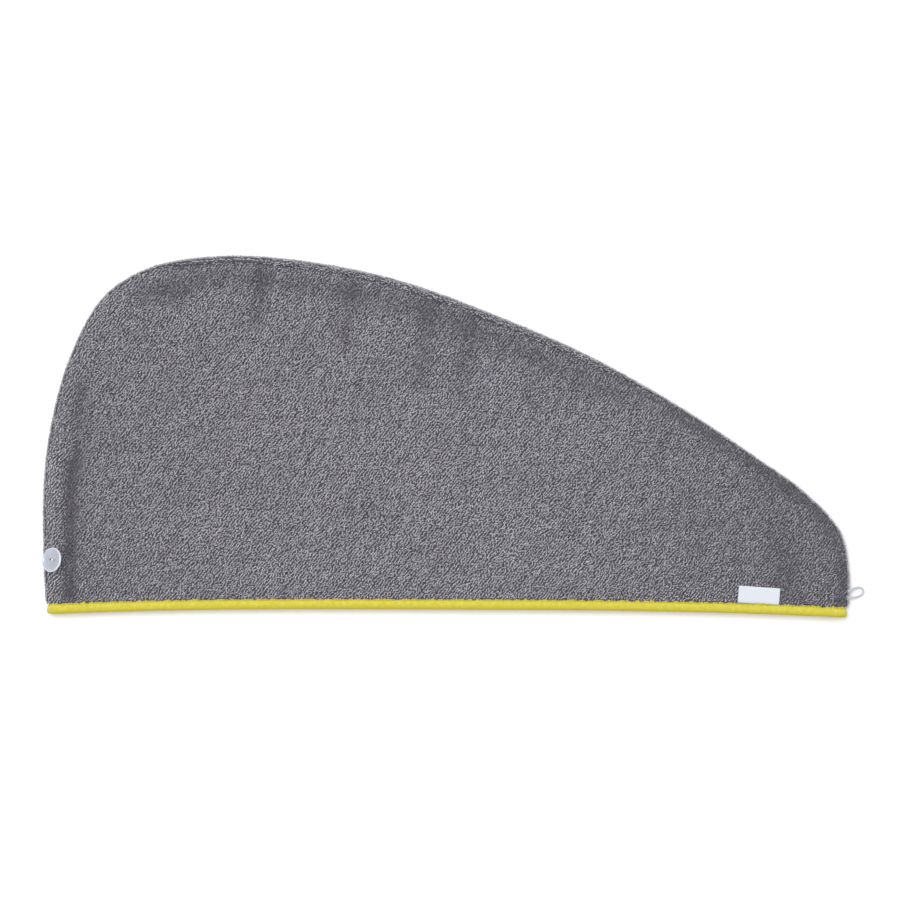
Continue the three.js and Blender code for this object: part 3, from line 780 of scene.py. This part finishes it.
end_bulge = 0.85 - 0.055 * (depth - 2.9) ** 2 - 0.5 * (end_turn > 0)
tape_points = on_tape(distance, offset + np.abs(end_turn) * end_bulge * outer, depth + scallop * outer)
cotton = Finish("yellow_cotton")
cotton_place = cotton.place()
cotton_x, cotton_y, cotton_z = cotton.axes(cotton_place)
thread_wave = 2 * np.pi / 0.00045
warp = ((cotton_x + cotton_y + cotton_z) * thread_wave).sine()
weft = ((cotton_x - cotton_y - cotton_z) * thread_wave).sine()
weave = (warp * weft) * 0.5 + 0.5
cotton_mottle = cotton.noise(cotton_place, 0.0035, detail=3, roughness=0.6)
# The fold attribute holds painted shade, which turns the tape a darker mustard.
fold_shade = cotton.node("ShaderNodeAttribute", {"attribute_name": "fold"}, output="Fac")
cotton_light = cotton.stretch(cotton_mottle, 0.3, 0.75) * 0.7 + weave * 0.2 + 0.1
cotton_plain = cotton.between(cotton_light, colour(190, 178, 34), colour(214, 207, 84))
cotton.cloth(
    Base_Color=cotton.between(fold_shade, cotton_plain, colour(176, 158, 4)),
    Roughness=0.85,
    Sheen_Weight=0.2,
    Normal=cotton.relief(weave * 0.6 + cotton_mottle * 0.4, 0.00012),
)
tape_faces = grid_faces(*tape_points.shape[:2], round_rows=True, round_columns=True)
binding = add_piece("binding_tape", tape_points, tape_faces, cotton)
# Painted shade on the tape: darker round its fold, towards its inner edge and in dots at the stitches, with
# random lumps.
fold = binding.data.attributes.new("fold", "FLOAT", "POINT")
painted_fold_shade = np.maximum(1 - depth / 5.4, 0) ** 1.6 + (np.maximum(depth - 5.4, 0) / 2.9) ** 2
painted_fold_shade = painted_fold_shade + ease(6.2, 7.4, depth) * (0.35 - 0.5 * phase - 0.3 * lumps)
fold.data.foreach_set("value", painted_fold_shade.ravel())
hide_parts("hem_binding")

stitch_start = (np.arange(stitch_count) / stitch_count * mouth_length)[:, None]
stitch_run = np.linspace(0.12, 0.88, 4)[None] * stitch_pitch
stitch_rise = half_tape - 0.12 + 0.2 * np.sin(np.linspace(0, np.pi, 4))[None]
stitch_lines = on_tape(stitch_start + stitch_run, stitch_rise, np.full((1, 4), stitch_depth))
stitch_aside = np.tile([0.0, 1.0, 0.0], (stitch_count, 1))
seam_thread = Finish("yellow_thread")
thread_tone = seam_thread.node("ShaderNodeAttribute", {"attribute_name": "tone"}, output="Fac")
thread_ply = seam_thread.noise(seam_thread.place(), 0.00025, detail=2)
seam_thread.cloth(
    Base_Color=seam_thread.between(
        thread_tone * 0.5 + thread_ply * 0.5, colour(180, 166, 26), colour(210, 202, 84)
    ),
    Roughness=0.6,
    Normal=seam_thread.relief(thread_ply, 0.00005),
)
stitch_tone = np.random.default_rng(31).uniform(0, 1, stitch_count)
stitches = strands(
    "binding_stitches", stitch_lines, stitch_aside, 0.17, seam_thread, stitch_tone
)


# Label: a small tag of woven satin, folded double at its upper end. Its lower end is caught under the
# binding, in the same row of stitches.
label_width = 33.3
label_height = 12.8
label_x = 0.886 * cloth_length
label_turn = np.radians(-4)
label_ends = np.array([-0.5, 0.5]) * label_width
label_hem = hem_line(label_x + label_ends * np.cos(label_turn)) - label_ends * np.sin(label_turn)
label_low = label_hem.max() + binding_edge


def cloth_height(x, y):
    """Height of the upper panel's face at one place."""
    spot = np.array([[x, y]])
    return float(upper_face(spot, *from_seam(spot))[0])


label_base = max(cloth_height(label_x, label_low), upper_slot_top)
label_slope = np.arctan2(cloth_height(label_x, label_low + label_height) - label_base, label_height)
lead = np.linspace(0, 1, 15)
bend = np.linspace(0, np.pi, 7)[1:-1]
tag_foot = -1.5  # how far its lower end reaches under the binding
tag_bend = 0.2  # radius of its fold
tag_lead = mix(tag_foot, label_height - tag_bend, lead)
tag_up = np.r_[tag_lead, label_height - tag_bend + tag_bend * np.sin(bend), tag_lead[::-1]]
tag_rise = np.r_[0.44 + lead * 0, 0.24 + tag_bend * np.cos(bend), 0.04 + lead * 0]
tag_rise = tag_rise - 0.5 * (1 - ease(tag_foot, 1.2, tag_up))
tag_out = np.r_[lead * 0 + 1, np.cos(bend), lead * 0 - 1]
tag_on = np.r_[lead * 0, np.sin(bend), lead * 0]
tag_across = np.linspace(-0.5, 0.5, 49) * label_width
ripple = waves(np.stack(np.broadcast_arrays(tag_across[:, None], tag_up), -1).reshape(-1, 2), 16, 41)
ripple = ripple.reshape(49, -1) * 0.1 * ease(0, 6, tag_up)
corner = (np.abs(tag_across[:, None] * 2 / label_width) ** 6) * ease(4, label_height, tag_up) * 0.35


def tag_layer(lift):
    """The tag's skin at a lift off its middle: up along the cloth's slope, turned on its lower end."""
    rise = tag_rise + ripple + corner + lift * tag_out
    up = tag_up + lift * tag_on
    ahead = up * np.cos(label_slope) - rise * np.sin(label_slope)
    height = up * np.sin(label_slope) + rise * np.cos(label_slope)
    x = label_x + tag_across[:, None] * np.cos(label_turn) - ahead * np.sin(label_turn)
    y = label_low + tag_across[:, None] * np.sin(label_turn) + ahead * np.cos(label_turn)
    return np.stack([x, y, label_base + clearance + height], -1)


skins = np.stack([tag_layer(0.1), tag_layer(-0.1)])
tag_faces = both_skins(grid_faces(*skins.shape[1:3]), skins[0, ..., 0].size)
satin = Finish("woven_satin")
satin_place = satin.place()
satin_x, satin_y = satin.axes(satin_place)[:2]
satin_rib = ((satin_y + satin_x * 0.06) * (2 * np.pi / 0.00042)).sine() * 0.5 + 0.5
satin_slub = satin.noise(satin_place, 0.0006, detail=3)
satin.cloth(
    Base_Color=satin.between(
        satin_rib * 0.45 + satin_slub * 0.55, colour(192, 198, 208), colour(218, 222, 228)
    ),
    Roughness=0.42,
    Sheen_Weight=0.2,
    Normal=satin.relief(satin_rib * 0.7 + satin_slub * 0.3, 0.00008),
)
tag = add_piece("label_tag", skins, tag_faces, satin)
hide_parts("label")


# Button: a dished disc of pearly plastic with a raised rim and two holes, sewn to the edge of the head end
# with pale thread, where it leans over the curve of the cloth.
# Half its section, from the middle of the back round the rim to the middle of the dish: distance from the
# axis, and height.
button_profile = np.array([
    [0.0, -0.5], [4.2, -0.35], [8.6, 0.0], [9.5, 0.38], [9.88, 0.8], [9.95, 1.3], [9.85, 1.78], [9.5, 2.07],
    [9.1, 2.1], [8.65, 1.9], [8.2, 1.55], [7.4, 1.32], [5.6, 1.2], [3.4, 1.15], [0.0, 1.15],
])
pearl = Finish("pearly_plastic")
pearl_place = pearl.place()
pearl_swirl = pearl.noise(pearl_place, 0.009, detail=3, roughness=0.6)
pearl_fine = pearl.noise(pearl_place, 0.0012, detail=2)
pearl_rim_highlight = pearl.node("ShaderNodeAttribute", {"attribute_name": "rim"}, output="Fac")
pearl_side_light = pearl.node("ShaderNodeAttribute", {"attribute_name": "side"}, output="Fac")
# The dish: pearly swirls, painted lighter towards the upper left and darker towards the lower right as
# painted light and shade.
pearl_swirl_and_side_light = pearl.stretch(pearl_swirl, 0.3, 0.7) * 0.3 + pearl_side_light * 0.8 - 0.05
pearl_dish = pearl.between(pearl_swirl_and_side_light, colour(144, 147, 155), colour(180, 185, 198))
pearl.cloth(
    # The rim is painted pale as a painted highlight, strongest at its lower right.
    Base_Color=pearl.between(pearl_rim_highlight, pearl_dish, colour(214, 219, 230)),
    Roughness=pearl_fine * 0.12 + 0.16,
    Coat_Weight=0.6,
    Coat_Roughness=0.08,
    Subsurface_Weight=0.15,
    Subsurface_Scale=0.002,
)
button_line = through(button_profile, 4)
button_line[:, 0] = np.maximum(button_line[:, 0], 0)
round_steps = 96
around = (np.arange(round_steps) * 2 * np.pi / round_steps)[None]
body = button_line[1:-1]
disc_height = np.broadcast_to(body[:, 1:], (len(body), round_steps))
disc = np.stack([body[:, :1] * np.cos(around), disc_height, -body[:, :1] * np.sin(around)], -1)
disc_points = np.vstack([disc.reshape(-1, 3), [[0, button_line[0, 1], 0], [0, button_line[-1, 1], 0]]])
disc_faces = grid_faces(*disc.shape[:2], round_columns=True)[:, ::-1].tolist()
step = np.arange(round_steps)
ring = np.stack([step, np.roll(step, -1)], 1)
back_pole, front_pole = (np.full((round_steps, 1), len(disc_points) - end) for end in (2, 1))
disc_faces += np.hstack([ring, back_pole])[:, ::-1].tolist()
disc_faces += np.hstack([ring + (len(body) - 1) * round_steps, front_pole]).tolist()
# The turn from the disc's own axis to the way it faces: the unit matrix, the matrix of their cross product,
# and that matrix squared over one more than the cosine between them.
axle = np.array([0.0, 1.0, 0.0])
spin_x, spin_y, spin_z = np.cross(axle, button_facing)
twist = np.array([[0, -spin_z, spin_y], [spin_z, 0, -spin_x], [-spin_y, spin_x, 0]])
level = np.radians(-48)  # about its own axis, with the holes nearly level
own_spin = np.array([[np.cos(level), 0, np.sin(level)], [0, 1, 0], [-np.sin(level), 0, np.cos(level)]])
turned = (np.eye(3) + twist + twist @ twist / (1 + axle @ button_facing)) @ own_spin
tilted = disc_points @ turned.T
seat = button_middle - (tilted.min(0) + tilted.max(0)) / 2


def drill(spots, radius, sides=24):
    """Round bars along the button's axis, one at each spot, which the disc is cut with."""
    bars, faces = [], []
    angle = np.arange(sides) * 2 * np.pi / sides
    for number, spot in enumerate(spots):
        ring_x, ring_z = spot + radius * np.cos(angle), radius * np.sin(angle)
        bars += [np.stack([ring_x, np.full(sides, height), ring_z], 1) for height in (-4.0, 5.0)]
        first = number * 2 * sides
        middle, last = first + sides, first + 2 * sides
        faces += (grid_faces(2, sides, round_columns=True) + first).tolist()
        faces += [list(range(middle - 1, first - 1, -1)), list(range(middle, last))]
    return np.vstack(bars), faces


button = add_piece("pearl_button", tilted + seat, disc_faces, pearl)
off_middle = np.hypot(disc_points[:, 0], disc_points[:, 2])
# How far a place is from the lower right of the rim, 0, to its upper left, 1.
to_left = 0.5 + (tilted + seat - button_middle) @ np.array([-0.85, 0.3, 0.0]) / 20
# Painted highlight on the rim, fading towards the upper left.
rim = button.data.attributes.new("rim", "FLOAT", "POINT")
rim.data.foreach_set("value", ease(8.9, 9.5, off_middle) * (1.0 - 0.55 * to_left))
# Painted light and shade across the dish: lighter towards the upper left.
side = button.data.attributes.new("side", "FLOAT", "POINT")
side.data.foreach_set("value", to_left + 0.35 * to_left * ease(5, 9, off_middle))
hole_off, hole_radius = 2.0, 0.9
bar_points, bar_faces = drill((-hole_off, hole_off), hole_radius)
bars = add_piece("button_drill", bar_points @ turned.T + seat, bar_faces, pearl)
cut = button.modifiers.new("holes", "BOOLEAN")
cut.object, cut.operation, cut.solver = bars, "DIFFERENCE", "EXACT"
bpy.context.view_layer.update()
drilled = bpy.data.meshes.new_from_object(button.evaluated_get(bpy.context.evaluated_depsgraph_get()))
button.modifiers.clear()
button.data = drilled
bpy.data.objects.remove(bars)
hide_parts("button")

thread_turn = np.linspace(0, np.pi, 9)
thread_side = np.array([-0.42, -0.14, 0.14, 0.42])[:, None]
thread_along = 0.35 + 1.55 * np.cos(thread_turn)
thread_rise = 0.2 + 1.35 * np.sin(thread_turn) ** 0.4
thread_off = thread_side + 0.06 * np.sin(3 * thread_turn)
thread_spots = np.stack(np.broadcast_arrays(thread_along, thread_rise, thread_off), axis=-1)
thread_lines = thread_spots @ turned.T + seat
sewing = Finish("button_thread")
sewing_ply = sewing.noise(sewing.place(), 0.0002, detail=2)
sewing.cloth(
    Base_Color=sewing.between(sewing_ply, colour(186, 188, 194), colour(232, 233, 236)),
    Roughness=0.7,
    Normal=sewing.relief(sewing_ply, 0.00005),
)
thread_aside = np.tile(turned @ np.array([0.0, 0.0, 1.0]), (4, 1))
strands("sewing_thread", thread_lines, thread_aside, 0.16, sewing, np.ones(4), sides=8)


# Studio: a plain pale floor under soft, nearly even light from all round, a little stronger from the upper
# left of the picture.
floor_reach, floor_height = 4.0, -0.0004
floor_mesh = bpy.data.meshes.new("floor")
floor_corners = [(-1, -1), (1, -1), (1, 1), (-1, 1)]
floor_points = [(floor_reach * x, floor_reach * y, floor_height) for x, y in floor_corners]
floor_mesh.from_pydata(floor_points, [], [(0, 1, 2, 3)])
floor_paint = Finish("pale_floor")
floor_paint.cloth(Base_Color=colour(246, 246, 247), Roughness=0.9)
floor_mesh.materials.append(floor_paint.material)
floor = bpy.data.objects.new("floor", floor_mesh)
bpy.context.collection.objects.link(floor)

world = bpy.data.worlds.new("studio")
world.use_nodes = True
world.node_tree.nodes["Background"].inputs["Color"].default_value = (1.0, 1.0, 1.0, 1.0)
world.node_tree.nodes["Background"].inputs["Strength"].default_value = 0.85
bpy.context.scene.world = world
bpy.context.scene.view_settings.view_transform = "Standard"

lamp = bpy.data.lights.new("softbox", "AREA")
lamp.shape = "DISK"
lamp.size = 2.2
lamp.energy = 107
softbox = bpy.data.objects.new("softbox", lamp)
softbox.location = (-0.85, 1.0, 4.15)
softbox.rotation_euler = softbox.location.to_track_quat("Z", "Y").to_euler()
bpy.context.collection.objects.link(softbox)

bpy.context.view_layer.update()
